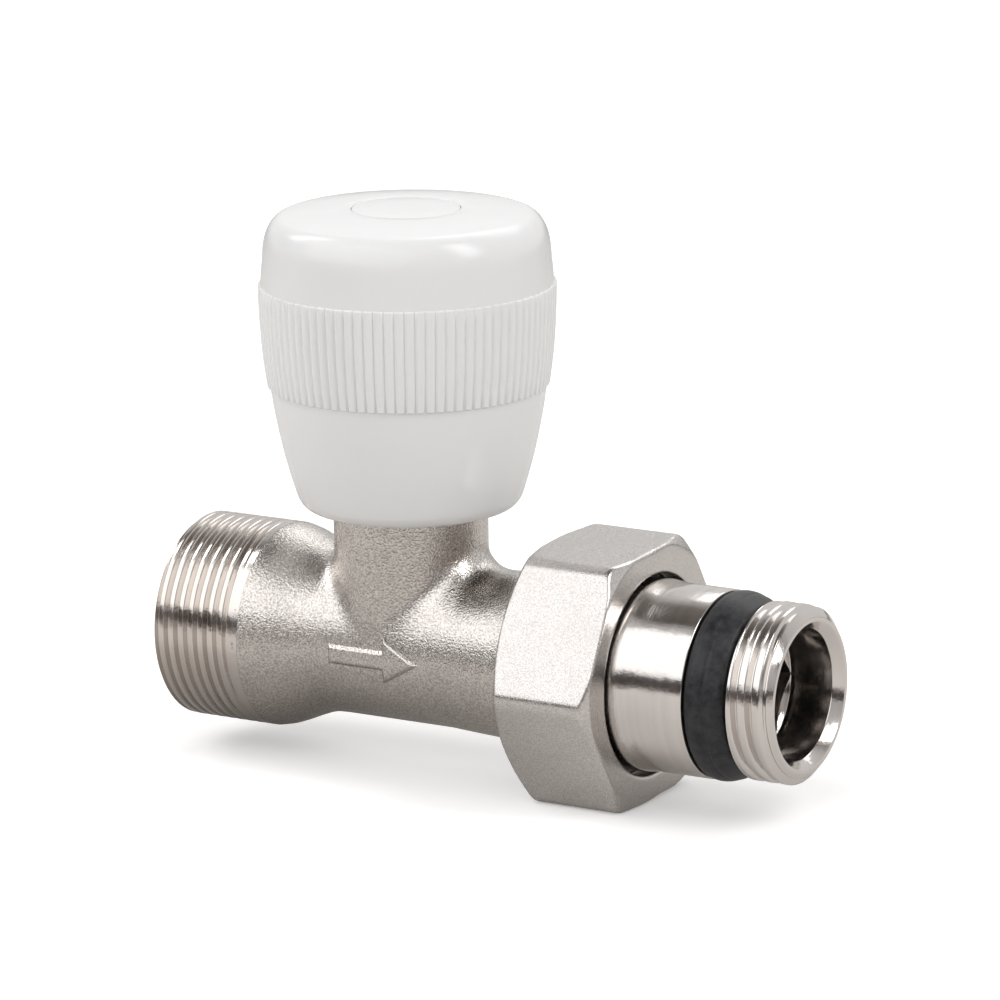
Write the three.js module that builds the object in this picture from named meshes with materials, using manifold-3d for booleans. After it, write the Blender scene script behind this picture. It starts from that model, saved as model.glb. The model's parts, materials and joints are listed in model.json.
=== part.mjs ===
// A straight manual radiator valve with a ribbed handwheel and a self-sealing union tail.
//
// Millimetres, +Z up. The origin is on the flow axis, in the plane where the tail's rubber seal
// meets the face of the radiator's tapping. +X runs along the flow axis into the radiator, and the
// handwheel stands up along +Z. The valve's own pieces are drawn about the point where the flow
// axis meets the spindle axis, and a group carries them to their place.

import * as THREE from 'three';
import { mergeVertices } from 'three/addons/utils/BufferGeometryUtils.js';
import Module from 'manifold-3d';

const wasm = await Module();
wasm.setup();

// ---------------------------------------------------------------- driving dimensions

const SPINDLE_X = -46.1; // spindle axis, measured from the tapping's face
const ROUND = 32; // facets round a large turned surface
const SMALL = 16; // facets round a small or hidden turned surface
const SLIVER = 0.005; // edges shorter than this, left by a cut, are merged away

// Threads. The pipe end takes a 24 mm x 19 per inch compression adaptor, the tail a 1/2 inch tapping.
const INCH = 25.4;
const PIPE_THREAD = { crest: 12.0, root: 11.3, pitch: INCH / 19 };
const TAIL_THREAD = { crest: 10.2, root: 9.35, pitch: INCH / 14 };
const UNION_RADIUS = 12.55; // the hidden union thread is a plain running surface at its mid depth
const UNION_GAP = 0.2;

// Body casting, along the flow axis from the spindle axis.
const INLET_END = -28.3;
const BOSS_END = -15.8;
const BOSS_RADIUS = 12.15;
const BARREL_RADIUS = 9.35;
const SPIGOT_START = 20.2;
const SPIGOT_END = 27.0;
const WATERWAY_RADIUS = 6.2;
const SOCKET_RADIUS = 9.05; // the pipe adaptor's socket
const SOCKET_DEPTH = 9;

// Neck, chamber and seat, up the spindle axis.
const NECK_RADIUS = 8.93;
const NECK_TOP = 18;
const CHAMBER_RADIUS = 7.4;
const CHAMBER_FLOOR = 1.3;
const SEAT_HEIGHT = 1.9;
const SEAT_RADIUS = 4.5;
const CROSSOVER_RADIUS = 4; // the waterway's narrow step down under the seat

// Union nut.
const NUT = { start: 19.3, end: 32.2, acrossFlats: 29, hole: 11.64, web: 2.7, edge: 2.2 };
const NUT_FACES = { backRadius: 14.4, frontRadius: 14.9, slope: Math.tan(Math.PI / 6) };
const NUT_REST_TURN = 2.5; // degrees that the tightened nut's flats stand past level

// Tail.
const TAIL_END = 52.0;
const TAIL_RADIUS = 10.8;
const COLLAR = { start: 27.3, end: 29.3, radius: 12.3 };
const SEAL_GROOVE = { start: 41.35, end: 46.1, radius: 8.6 };
const KEY_SOCKET = { depth: 6.5, length: 7, acrossFlats: 13 };

// Headwork, up the spindle axis.
const BONNET = { bottom: 10.6, hexBottom: 18.3, hexTop: 22.3, top: 29.0, acrossFlats: 17 };
const SCREW_BORE = 5.5; // the bonnet's inner thread, in which the plug climbs
const STEM_BORE = 3.2;
const SHOULDER_HEIGHT = 24.1;
const GLAND = { bottom: 26.2, hexBottom: 29.3, top: 32.2, acrossFlats: 11, thread: 4.85 };
const SPINDLE = { stem: 3.0, bottom: 13.7, collarBottom: 22.6, collarTop: 23.6, driveBottom: 32.5, top: 41 };
const DRIVE_FLATS = { plug: 5.0, handwheel: 5.2 };
const PLUG = { discTop: 4.4, flangeTop: 6.6, socketBottom: 9.6, top: 18.0, radius: 5.3 };

// Handwheel.
const WHEEL = { bottom: 16.2, top: 51.1, hubBottom: 32.8, webBottom: 41.4, webTop: 43.4 };
const BAND = { bottom: 30.5, top: 42.4, ribs: 90, depth: 0.3 };
const RECESS_RADIUS = 6.3;

// ---------------------------------------------------------------- finishes

const finish = (color, roughness, metalness) =>
  new THREE.MeshStandardMaterial({ color, roughness, metalness, flatShading: true });

const castNickel = finish(0xb3aaa1, 0.45, 0.9);
const turnedNickel = finish(0xc4bcb3, 0.2, 1.0);
const brass = finish(0xc2a15c, 0.3, 1.0);
const steel = finish(0xaeb0b2, 0.3, 1.0);
const blackRubber = finish(0x1b1c20, 0.6, 0.0);
const whitePlastic = finish(0xecebe8, 0.35, 0.0);
const ptfe = finish(0xf1efe9, 0.5, 0.0);

// ---------------------------------------------------------------- shape helpers

// A closed solid for joining and cutting, with its faces turned outwards.
function solid(geometry) {
  const bare = geometry.clone();
  bare.deleteAttribute('normal');
  bare.deleteAttribute('uv');
  const merged = mergeVertices(bare, 1e-4);
  const points = merged.getAttribute('position');
  const corners = Array.from(merged.getIndex().array);
  const [a, b, c] = [new THREE.Vector3(), new THREE.Vector3(), new THREE.Vector3()];
  const triangles = [];
  let sixVolumes = 0;
  for (let i = 0; i < corners.length; i += 3) {
    const [p, q, r] = corners.slice(i, i + 3);
    if (p === q || q === r || r === p) continue;
    triangles.push([p, q, r]);
    a.fromBufferAttribute(points, p);
    b.fromBufferAttribute(points, q);
    c.fromBufferAttribute(points, r);
    sixVolumes += a.dot(b.cross(c));
  }
  const outward = sixVolumes < 0 ? triangles.map(([p, q, r]) => [p, r, q]) : triangles;
  return new wasm.Manifold(new wasm.Mesh({
    numProp: 3,
    vertProperties: new Float32Array(points.array),
    triVerts: new Uint32Array(outward.flat()),
  }));
}

// Turns a shape drawn along three.js's own axis until it runs along the object's X or Z axis.
const alongX = { lathe: (g) => g.rotateZ(-Math.PI / 2), extrude: (g) => g.rotateY(Math.PI / 2) };
const alongZ = { lathe: (g) => g.rotateX(Math.PI / 2), extrude: (g) => g };
const AXES = { x: alongX, z: alongZ };

// A turned solid from a closed outline of [distance along the axis, radius] points.
function turned(axis, outline, facets = ROUND) {
  const points = [...outline, outline[0]].map(([along, radius]) => new THREE.Vector2(radius, along));
  return solid(AXES[axis].lathe(new THREE.LatheGeometry(points, facets)));
}

const rod = (axis, from, to, radius, facets = ROUND) =>
  turned(axis, [[from, 0], [from, radius], [to, radius], [to, 0]], facets);

const ring = (axis, from, to, inner, outer, facets = ROUND) =>
  turned(axis, [[from, inner], [from, outer], [to, outer], [to, inner]], facets);

// A ring of round section, such as an O-ring.
function oRing(height, radius, thickness) {
  const around = Array.from({ length: 8 }, (_, i) => (i / 8) * 2 * Math.PI);
  const outline = around.map((t) => [
    height + (thickness / 2) * Math.sin(t),
    radius + (thickness / 2) * Math.cos(t),
  ]);
  return turned('z', outline, SMALL);
}

// A hexagonal bar. Its flats face the shape's own x axis, which is up on a bar that runs along X.
function hexBar(axis, from, to, acrossFlats, edgeRadius = 0) {
  const inner = acrossFlats / 2 - edgeRadius;
  const shape = new THREE.Shape();
  for (let i = 0; i < 6; i++) {
    const angle = (i + 0.5) * (Math.PI / 3);
    const reach = inner / Math.cos(Math.PI / 6);
    const [x, y] = [reach * Math.cos(angle), reach * Math.sin(angle)];
    if (edgeRadius > 0) {
      shape.absarc(x, y, edgeRadius, angle - Math.PI / 6, angle + Math.PI / 6, false);
    } else if (i === 0) {
      shape.moveTo(x, y);
    } else {
      shape.lineTo(x, y);
    }
  }
  const bar = new THREE.ExtrudeGeometry(shape, { depth: to - from, bevelEnabled: false, curveSegments: 3 });
  return solid(AXES[axis].extrude(bar.translate(0, 0, from)));
}

// A box with its lowest and highest corners given.
function block(low, high) {
  const size = high.map((value, i) => value - low[i]);
  const middle = high.map((value, i) => (value + low[i]) / 2);
  return solid(new THREE.BoxGeometry(...size).translate(...middle));
}

// A right-handed V groove about the X axis, for cutting a thread into a cylinder. It starts in the
// open, past the thread's end, and climbs out of the metal over its last half turn.
function helicalGroove({ crest, root, pitch }, from, to) {
  const steps = Math.round(((to - from) / pitch) * ROUND);
  const runOut = ROUND / 2;
  const overshoot = 0.25;
  const crestHalf = 0.36 * pitch;
  const openHalf = (crestHalf * (crest - root + overshoot)) / (crest - root);
  const positions = [];
  const index = [];
  for (let i = 0; i <= steps; i++) {
    const angle = (2 * Math.PI * i) / ROUND;
    const along = from + (pitch * i) / ROUND;
    const climb = Math.max(0, i - (steps - runOut)) / runOut;
    const lift = climb * (crest - root + overshoot / 2);
    const section = [
      [along, root + lift],
      [along + openHalf, crest + overshoot + lift],
      [along - openHalf, crest + overshoot + lift],
    ];
    for (const [x, radius] of section) {
      positions.push(x, radius * Math.cos(angle), radius * Math.sin(angle));
    }
    if (i === 0) continue;
    for (let k = 0; k < 3; k++) {
      const [near, next] = [3 * i + k, 3 * i + ((k + 1) % 3)];
      index.push(near - 3, next - 3, next, near - 3, next, near);
    }
  }
  const last = 3 * steps;
  index.push(0, 2, 1, last, last + 1, last + 2);
  const geometry = new THREE.BufferGeometry();
  geometry.setAttribute('position', new THREE.Float32BufferAttribute(positions, 3));
  geometry.setIndex(index);
  return solid(geometry);
}

// ---------------------------------------------------------------- fixed in the radiator

function makeTailpiece() {
  const { crest, root } = TAIL_THREAD;
  const nose = turned('x', [
    [24.3, WATERWAY_RADIUS],
    [24.3, 7.2],
    [27.0, 9.5],
    [COLLAR.start, 9.5],
    [COLLAR.start, COLLAR.radius - 0.4],
    [COLLAR.start + 0.4, COLLAR.radius],
    [COLLAR.end, COLLAR.radius],
    [COLLAR.end, 11.1],
    [33.0, 11.1],
    [33.5, TAIL_RADIUS],
    [SEAL_GROOVE.start - 0.25, TAIL_RADIUS],
    [SEAL_GROOVE.start, TAIL_RADIUS - 0.15],
    [SEAL_GROOVE.start, SEAL_GROOVE.radius],
    [SEAL_GROOVE.end, SEAL_GROOVE.radius],
    [SEAL_GROOVE.end, root],
    [SEAL_GROOVE.end + 0.5, crest],
    [TAIL_END - 1.1, crest],
    [TAIL_END, 8.9],
    [TAIL_END, 8.45],
    [TAIL_END - 1.2, 7.45],
    [TAIL_END - KEY_SOCKET.depth, 7.45],
    [TAIL_END - KEY_SOCKET.depth, WATERWAY_RADIUS],
  ]);
  const hexStart = TAIL_END - KEY_SOCKET.depth - KEY_SOCKET.length;
  const keySocket = hexBar('x', hexStart, TAIL_END - KEY_SOCKET.depth + 0.5, KEY_SOCKET.acrossFlats)
    .intersect(rod('x', hexStart, TAIL_END, 7.45));
  const threadStart = TAIL_END + 1.2 * TAIL_THREAD.pitch;
  const groove = helicalGroove(TAIL_THREAD, -threadStart, -(SEAL_GROOVE.end - 0.6))
    .rotate([0, 180, 0]);
  return nose.subtract(keySocket).subtract(groove);
}

function makeTailpieceSeal() {
  const [start, end] = [SEAL_GROOVE.start + 0.05, SEAL_GROOVE.end - 0.1];
  return turned('x', [
    [start, SEAL_GROOVE.radius + 0.12],
    [start, 10.4],
    [start + 0.5, 10.78],
    [start + 1.2, 10.85],
    [start + 2.0, 10.72],
    [start + 2.6, 10.4],
    [start + 3.2, 10.3],
    [start + 3.9, 9.95],
    [end, 9.55],
    [end, SEAL_GROOVE.radius + 0.12],
  ]);
}

// ---------------------------------------------------------------- union nut

function makeUnionNut() {
  const { start, end, acrossFlats, hole, web, edge } = NUT;
  const { backRadius, frontRadius, slope } = NUT_FACES;
  const corner = 17.2;
  const chamfered = turned('x', [
    [start, 0],
    [start, backRadius],
    [start + (corner - backRadius) * slope, corner],
    [end - (corner - frontRadius) * slope, corner],
    [end, frontRadius],
    [end, 0],
  ]);
  const bore = turned('x', [
    [start - 1, 0],
    [start - 1, UNION_RADIUS + UNION_GAP + 1.6],
    [start + 0.6, UNION_RADIUS + UNION_GAP],
    [end - web, UNION_RADIUS + UNION_GAP],
    [end - web, hole],
    [end - 0.35, hole],
    [end + 0.65, hole + 1.0],
    [end + 0.65, 0],
  ]);
  return hexBar('x', start, end, acrossFlats, edge)
    .intersect(chamfered)
    .rotate([NUT_REST_TURN, 0, 0])
    .subtract(bore);
}

// ---------------------------------------------------------------- valve body

// A plain raised arrow on the front of the barrel, pointing the way the water flows.
function makeFlowArrow() {
  const [tail, head, tip] = [-5.8, 1.4, 6.4];
  const [shaftHalf, headHalf, centre] = [1.2, 2.9, -0.1];
  const shape = new THREE.Shape([
    new THREE.Vector2(tail, centre - shaftHalf),
    new THREE.Vector2(head, centre - shaftHalf),
    new THREE.Vector2(head, centre - headHalf),
    new THREE.Vector2(tip, centre),
    new THREE.Vector2(head, centre + headHalf),
    new THREE.Vector2(head, centre + shaftHalf),
    new THREE.Vector2(tail, centre + shaftHalf),
  ]);
  const bar = new THREE.ExtrudeGeometry(shape, { depth: BARREL_RADIUS, bevelEnabled: false });
  return solid(bar.rotateX(Math.PI / 2)).intersect(rod('x', tail - 1, tip + 1, BARREL_RADIUS + 0.35));
}

function makeValveBody() {
  const { crest } = PIPE_THREAD;
  const barrel = turned('x', [
    [INLET_END, 0],
    [INLET_END, crest - 0.25],
    [INLET_END + 0.25, crest],
    [BOSS_END - 2.3, crest],
    [BOSS_END - 2.0, BOSS_RADIUS],
    [BOSS_END, BOSS_RADIUS - 0.15],
    [BOSS_END + 1.5, 11.5],
    [BOSS_END + 3.2, 10.5],
    [BOSS_END + 4.8, 9.75],
    [BOSS_END + 6.8, BARREL_RADIUS],
    [NECK_RADIUS, BARREL_RADIUS],
    [NECK_RADIUS + 4, BARREL_RADIUS + 0.35],
    [SPIGOT_START, BARREL_RADIUS + 0.35],
    [SPIGOT_START, UNION_RADIUS - 0.4],
    [SPIGOT_START + 0.4, UNION_RADIUS],
    [SPIGOT_END - 0.5, UNION_RADIUS],
    [SPIGOT_END, UNION_RADIUS - 0.5],
    [SPIGOT_END, 0],
  ]);
  const neck = rod('z', 0, NECK_TOP, NECK_RADIUS);
  const threadStart = INLET_END - 1.2 * PIPE_THREAD.pitch;
  const groove = helicalGroove(PIPE_THREAD, threadStart, BOSS_END - 2.0);

  const chamber = turned('z', [
    [CHAMBER_FLOOR, SEAT_RADIUS + 1.3],
    [CHAMBER_FLOOR, CHAMBER_RADIUS],
    [NECK_TOP - 0.8, CHAMBER_RADIUS],
    [NECK_TOP, CHAMBER_RADIUS + 0.8],
    [NECK_TOP + 1, CHAMBER_RADIUS + 0.8],
    [NECK_TOP + 1, 0],
    [SEAT_HEIGHT, 0],
    [SEAT_HEIGHT, SEAT_RADIUS + 1.1],
  ]);
  const seatHole = rod('z', -CROSSOVER_RADIUS, SEAT_HEIGHT + 0.5, SEAT_RADIUS, SMALL);
  const inletWay = turned('x', [
    [INLET_END - 1, 0],
    [INLET_END - 1, SOCKET_RADIUS + 1.5],
    [INLET_END + 0.5, SOCKET_RADIUS],
    [INLET_END + SOCKET_DEPTH, SOCKET_RADIUS],
    [INLET_END + SOCKET_DEPTH + 2.5, WATERWAY_RADIUS],
    [-9.2, WATERWAY_RADIUS],
    [-9.2, 0],
  ]);
  const underSeat = rod('x', -12, SEAT_RADIUS, CROSSOVER_RADIUS, SMALL).translate([0, 0, -4.2]);
  const overSeat = rod('x', 2, 14, 3.3, SMALL).translate([0, 0, 5.3]);
  const outletWay = turned('x', [
    [9.8, 0],
    [9.8, WATERWAY_RADIUS],
    [22.8, WATERWAY_RADIUS],
    [23.6, 7.0],
    [SPIGOT_END, 9.9],
    [SPIGOT_END + 1, 9.9],
    [SPIGOT_END + 1, 0],
  ]);
  return barrel
    .add(neck)
    .add(makeFlowArrow())
    .subtract(groove)
    .subtract(chamber)
    .subtract(seatHole)
    .subtract(inletWay)
    .subtract(underSeat)
    .subtract(overSeat)
    .subtract(outletWay);
}

// ---------------------------------------------------------------- headwork

function makeBonnet() {
  const { bottom, hexBottom, hexTop, top, acrossFlats } = BONNET;
  const outside = turned('z', [
    [bottom, 0],
    [bottom, CHAMBER_RADIUS - 0.5],
    [bottom + 0.4, CHAMBER_RADIUS - 0.1],
    [NECK_TOP - 2.4, CHAMBER_RADIUS - 0.1],
    [NECK_TOP - 2.4, CHAMBER_RADIUS - 0.7],
    [NECK_TOP - 0.6, CHAMBER_RADIUS - 0.7],
    [hexBottom, CHAMBER_RADIUS - 0.7],
    [hexBottom, acrossFlats / 2],
    [hexTop, acrossFlats / 2],
    [hexTop, 7.2],
    [top - 0.4, 7.2],
    [top, 6.8],
    [top, 0],
  ], SMALL);
  const chamfered = turned('z', [
    [hexBottom, 0],
    [hexBottom, acrossFlats / 2 + 1.5],
    [hexTop - 0.8, acrossFlats / 2 + 1.5],
    [hexTop, acrossFlats / 2 - 0.2],
    [hexTop, 0],
  ], SMALL);
  const hex = hexBar('z', hexBottom, hexTop, acrossFlats).intersect(chamfered);
  const bore = turned('z', [
    [bottom - 1, 0],
    [bottom - 1, SCREW_BORE],
    [SHOULDER_HEIGHT, SCREW_BORE],
    [SHOULDER_HEIGHT, STEM_BORE],
    [25.6, STEM_BORE],
    [25.6, 5.0],
    [top + 1, 5.0],
    [top + 1, 0],
  ], SMALL);
  return outside.add(hex).subtract(bore);
}

function makeGlandNut() {
  const { bottom, hexBottom, top, acrossFlats, thread } = GLAND;
  const hex = hexBar('z', hexBottom, top, acrossFlats)
    .intersect(turned('z', [
      [hexBottom, 0],
      [hexBottom, acrossFlats / 2 + 1],
      [top - 0.5, acrossFlats / 2 + 1],
      [top, acrossFlats / 2 - 0.1],
      [top, 0],
    ], SMALL));
  const bore = turned('z', [
    [bottom - 1, 0],
    [bottom - 1, STEM_BORE],
    [27.0, STEM_BORE],
    [27.0, 4.1],
    [28.6, 4.1],
    [28.6, STEM_BORE],
    [top + 1, STEM_BORE],
    [top + 1, 0],
  ], SMALL);
  return rod('z', bottom, hexBottom + 0.5, thread, SMALL).add(hex).subtract(bore);
}

function makeSpindle() {
  const { stem, bottom, collarBottom, collarTop, driveBottom, top } = SPINDLE;
  const plugDrive = hexBar('z', bottom, collarBottom + 0.2, DRIVE_FLATS.plug);
  const wheelDrive = hexBar('z', driveBottom - 0.2, top, DRIVE_FLATS.handwheel);
  const shaft = turned('z', [
    [collarBottom, 0],
    [collarBottom, SCREW_BORE - 0.3],
    [collarTop, SCREW_BORE - 0.3],
    [collarTop, stem],
    [24.35, stem],
    [24.35, 2.35],
    [25.35, 2.35],
    [25.35, stem],
    [driveBottom, stem],
    [driveBottom, 0],
  ], SMALL);
  const tappedHole = rod('z', 33.6, top + 1, 1.9, SMALL);
  return shaft.add(plugDrive).add(wheelDrive).subtract(tappedHole);
}

function makePlug() {
  const { discTop, flangeTop, socketBottom, top, radius } = PLUG;
  const outside = turned('z', [
    [discTop, 0],
    [discTop, 6.2],
    [discTop - 0.9, 6.2],
    [discTop - 0.9, 6.8],
    [flangeTop - 0.6, 6.8],
    [flangeTop, 6.2],
    [flangeTop, radius],
    [top - 0.3, radius],
    [top, radius - 0.3],
    [top, 0],
  ], SMALL);
  const socket = hexBar('z', socketBottom, top + 1, DRIVE_FLATS.plug + 0.3);
  const tappedHole = rod('z', discTop - 1, 8.6, 1.9, SMALL);
  return outside.subtract(socket).subtract(tappedHole);
}

const makeSeatDisc = () => turned('z', [
  [SEAT_HEIGHT + 0.1, 2.1],
  [SEAT_HEIGHT + 0.1, 5.9],
  [SEAT_HEIGHT + 0.3, 6.1],
  [PLUG.discTop, 6.1],
  [PLUG.discTop, 2.1],
], SMALL);

function makePlugScrew() {
  const head = turned('z', [
    [-0.7, 0],
    [-0.7, 2.4],
    [-0.1, 3.0],
    [1.1, 3.0],
    [1.1, 1.75],
    [8.2, 1.75],
    [8.2, 0],
  ], SMALL);
  const slot = block([-4, -0.4, -1], [4, 0.4, 0.2]);
  return head.subtract(slot);
}

// ---------------------------------------------------------------- handwheel

// The smooth outside of the wheel, from its bottom lip to the crown.
function wheelOutline() {
  const skirt = [
    [WHEEL.bottom, 11.5],
    [WHEEL.bottom + 0.3, 12.2],
    [WHEEL.bottom + 1.2, 12.85],
    [20, 13.72],
    [25, 14.95],
    [BAND.bottom, 15.9],
  ];
  const dome = [
    [BAND.top, 16.8],
    [44.85, 16.59],
    [46.95, 16.4],
    [48.7, 15.85],
    [49.8, 15.1],
    [50.35, 14.03],
    [50.8, 9],
    [WHEEL.top, 0],
  ];
  return [...skirt, [36.5, 16.6], ...dome];
}

// The gripping band: ribs that stand out of the wheel's side and follow its barrel shape.
function makeRibbedBand() {
  const outer = [[BAND.bottom, 16.2], [36.5, 16.9], [BAND.top, 17.08]];
  const inner = [[BAND.top, 15], [BAND.bottom, 15]];
  const outline = [...outer, ...inner, outer[0]];
  const facets = 2 * BAND.ribs;
  const geometry = new THREE.LatheGeometry(outline.map(([z, r]) => new THREE.Vector2(r, z)), facets);
  const points = geometry.getAttribute('position');
  for (let i = 0; i < points.count; i++) {
    const facet = Math.floor(i / outline.length);
    const radius = Math.hypot(points.getX(i), points.getZ(i));
    if (facet % 2 === 0 || radius < 15.5) continue;
    const sunk = (radius - BAND.depth) / radius;
    points.setX(i, points.getX(i) * sunk);
    points.setZ(i, points.getZ(i) * sunk);
  }
  return solid(alongZ.lathe(geometry));
}

function makeHandwheel() {
  const outside = turned('z', [[WHEEL.bottom, 0], ...wheelOutline()], ROUND).add(makeRibbedBand());
  const hollow = turned('z', [
    [WHEEL.bottom - 1, 0],
    [WHEEL.bottom - 1, 10.7],
    [WHEEL.bottom + 0.4, 10.7],
    [20, 11.8],
    [25, 13.0],
    [31, 14.1],
    [45, 14.6],
    [48.3, 12.6],
    [48.3, 8.3],
    [WHEEL.webBottom, 8.3],
    [WHEEL.webBottom, 6.0],
    [WHEEL.hubBottom, 6.0],
    [WHEEL.hubBottom, 0],
  ]);
  const recess = rod('z', WHEEL.webTop, WHEEL.top + 1, RECESS_RADIUS, SMALL);
  const screwHole = rod('z', WHEEL.webBottom - 1, WHEEL.webTop + 1, 2.2, SMALL);
  const drive = hexBar('z', WHEEL.hubBottom - 1, WHEEL.webBottom, DRIVE_FLATS.handwheel + 0.3);
  let wheel = outside.subtract(hollow);
  for (let i = 0; i < 6; i++) {
    const rib = block([5.5, -0.7, 36], [14.9, 0.7, 48.8]);
    wheel = wheel.add(rib.rotate([0, 0, 60 * i]));
  }
  return wheel.subtract(recess).subtract(screwHole).subtract(drive);
}

function makeHandwheelScrew() {
  const screw = turned('z', [
    [34.2, 0],
    [34.2, 1.7],
    [44.3, 1.7],
    [44.3, 3.6],
    [45.9, 3.6],
    [46.6, 2.6],
    [46.6, 0],
  ], SMALL);
  const crossSlot = block([-2, -0.35, 45.2], [2, 0.35, 47]).add(block([-0.35, -2, 45.2], [0.35, 2, 47]));
  return screw.subtract(crossSlot);
}

const makeLockWasher = () =>
  ring('z', WHEEL.webTop, 44.2, 2.0, 3.7, SMALL).subtract(block([0, -0.3, 43], [5, 0.3, 45]));

const makeScrewCap = () => turned('z', [
  [46.9, 5.2],
  [46.9, 6.15],
  [50.97, 6.15],
  [WHEEL.top, 0],
  [49.6, 0],
  [49.6, 5.2],
], SMALL);

// ---------------------------------------------------------------- assembly

const lockshieldValve = new THREE.Group();
const valve = new THREE.Group();
valve.position.x = SPINDLE_X;
lockshieldValve.add(valve);

function place(name, shape, material) {
  const mesh = shape.simplify(SLIVER).getMesh();
  const geometry = new THREE.BufferGeometry();
  geometry.setAttribute('position', new THREE.BufferAttribute(mesh.vertProperties, 3));
  geometry.setIndex(new THREE.BufferAttribute(mesh.triVerts, 1));
  geometry.computeVertexNormals();
  const piece = new THREE.Mesh(geometry, material);
  piece.name = name;
  valve.add(piece);
}

place('tailpiece', makeTailpiece(), turnedNickel);
place('tailpiece_seal', makeTailpieceSeal(), blackRubber);
place('union_nut', makeUnionNut(), castNickel);
place('valve_body', makeValveBody(), castNickel);
place('bonnet', makeBonnet(), brass);
place('bonnet_o_ring', oRing(NECK_TOP - 1.45, 7.05, 0.6), blackRubber);
place('gland_packing', ring('z', 25.65, 26.15, STEM_BORE, 4.9, SMALL), ptfe);
place('gland_nut', makeGlandNut(), brass);
place('gland_o_ring', oRing(27.8, 3.6, 0.9), blackRubber);
place('spindle', makeSpindle(), brass);
place('thrust_washer', ring('z', 23.65, 24.05, 3.1, 5.2, SMALL), ptfe);
place('spindle_o_ring', oRing(24.85, 2.75, 0.7), blackRubber);
place('plug', makePlug(), brass);
place('seat_disc', makeSeatDisc(), blackRubber);
place('seat_disc_washer', ring('z', 1.1, SEAT_HEIGHT + 0.1, 2.0, 3.9, SMALL), brass);
place('seat_disc_screw', makePlugScrew(), brass);
place('handwheel', makeHandwheel(), whitePlastic);
place('handwheel_screw', makeHandwheelScrew(), steel);
place('lock_washer', makeLockWasher(), steel);
place('screw_cap', makeScrewCap(), whitePlastic);

export default lockshieldValve;
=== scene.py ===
# %% [markdown]
# # A straight radiator valve with a ribbed handwheel
#
# This notebook dresses a radiator valve for its picture. The frame already knows where every part
# sits and how it moves; here each part that shows gets its fine shape and its finish.
# The real thing is a hot-forged brass body, shot-blasted and nickel plated, with a moulded white
# wheel on top and a turned tail that seals itself in the radiator with a black rubber ring.
#
# We start by loading the frame and keeping the size of the whole object.

# %% Load the frame
import json
import math

import bmesh
import bpy
from mathutils import Matrix, Quaternion, Vector


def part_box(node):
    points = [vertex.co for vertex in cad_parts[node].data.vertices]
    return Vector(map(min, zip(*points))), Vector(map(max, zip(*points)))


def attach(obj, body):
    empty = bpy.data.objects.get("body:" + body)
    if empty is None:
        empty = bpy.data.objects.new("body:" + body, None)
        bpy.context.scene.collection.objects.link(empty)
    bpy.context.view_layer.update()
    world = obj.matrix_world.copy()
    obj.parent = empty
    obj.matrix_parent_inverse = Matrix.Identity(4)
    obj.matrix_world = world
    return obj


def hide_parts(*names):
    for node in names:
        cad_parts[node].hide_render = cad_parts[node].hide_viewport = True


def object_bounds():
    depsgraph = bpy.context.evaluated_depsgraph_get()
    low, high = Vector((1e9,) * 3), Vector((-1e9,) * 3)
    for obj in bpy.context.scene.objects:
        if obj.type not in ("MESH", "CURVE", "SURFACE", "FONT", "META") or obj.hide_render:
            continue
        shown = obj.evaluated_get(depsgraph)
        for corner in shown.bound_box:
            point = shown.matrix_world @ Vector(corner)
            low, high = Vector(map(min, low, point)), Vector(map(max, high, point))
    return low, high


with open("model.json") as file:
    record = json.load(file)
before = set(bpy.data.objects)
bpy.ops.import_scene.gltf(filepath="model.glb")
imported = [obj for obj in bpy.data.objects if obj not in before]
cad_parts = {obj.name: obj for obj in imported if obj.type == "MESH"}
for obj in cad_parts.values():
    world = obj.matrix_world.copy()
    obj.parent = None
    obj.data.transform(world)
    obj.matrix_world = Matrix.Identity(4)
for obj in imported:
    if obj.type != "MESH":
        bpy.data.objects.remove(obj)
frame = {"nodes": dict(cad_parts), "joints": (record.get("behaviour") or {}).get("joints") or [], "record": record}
cad_low, cad_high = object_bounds()
print("size in mm:", [round(1000 * side, 1) for side in cad_high - cad_low])

# %% [markdown]
# ## Where things are
#
# The shapes below are drawn in millimetres, about the point where the flow axis crosses the
# spindle axis, because that is how a valve is drawn. One matrix carries them to the frame, which
# is in metres and starts at the face of the radiator. The handwheel's own joint tells us where
# the spindle stands, so nothing has to be measured twice.

# %% Find the spindle
joints = {joint["name"]: joint for joint in frame["joints"]}
spindle_place = Vector(joints["handwheel_turn"]["pos_m"])
MILLIMETRE = 0.001
TO_FRAME = Matrix.Translation(spindle_place) @ Matrix.Scale(MILLIMETRE, 4)


def along_flow(x):
    """A frame position on the flow axis, in metres, as millimetres from the spindle axis."""
    return (x - spindle_place.x) / MILLIMETRE


print("spindle axis at", [round(value, 4) for value in spindle_place])

# %% [markdown]
# ## Camera
#
# A long lens from a low three-quarter view, as catalogues show small fittings. The long lens
# keeps the valve's sides nearly parallel. The view is given by its azimuth, its elevation and a
# trace of roll, and `to_track_quat` turns the first two into a rotation.

# %% Set up the camera
CAMERA_PLACE = Vector((0.33604, -0.62376, 0.19510))
CAMERA_AZIMUTH = math.radians(30.688)
CAMERA_ELEVATION = math.radians(13.718)
CAMERA_ROLL = math.radians(-0.725)
LENS_MM = 235.35


def direction_of(azimuth, elevation):
    """The unit vector that leaves the valve at an azimuth and an elevation in radians."""
    level = math.cos(elevation)
    return Vector((math.sin(azimuth) * level, -math.cos(azimuth) * level, math.sin(elevation)))


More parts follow.
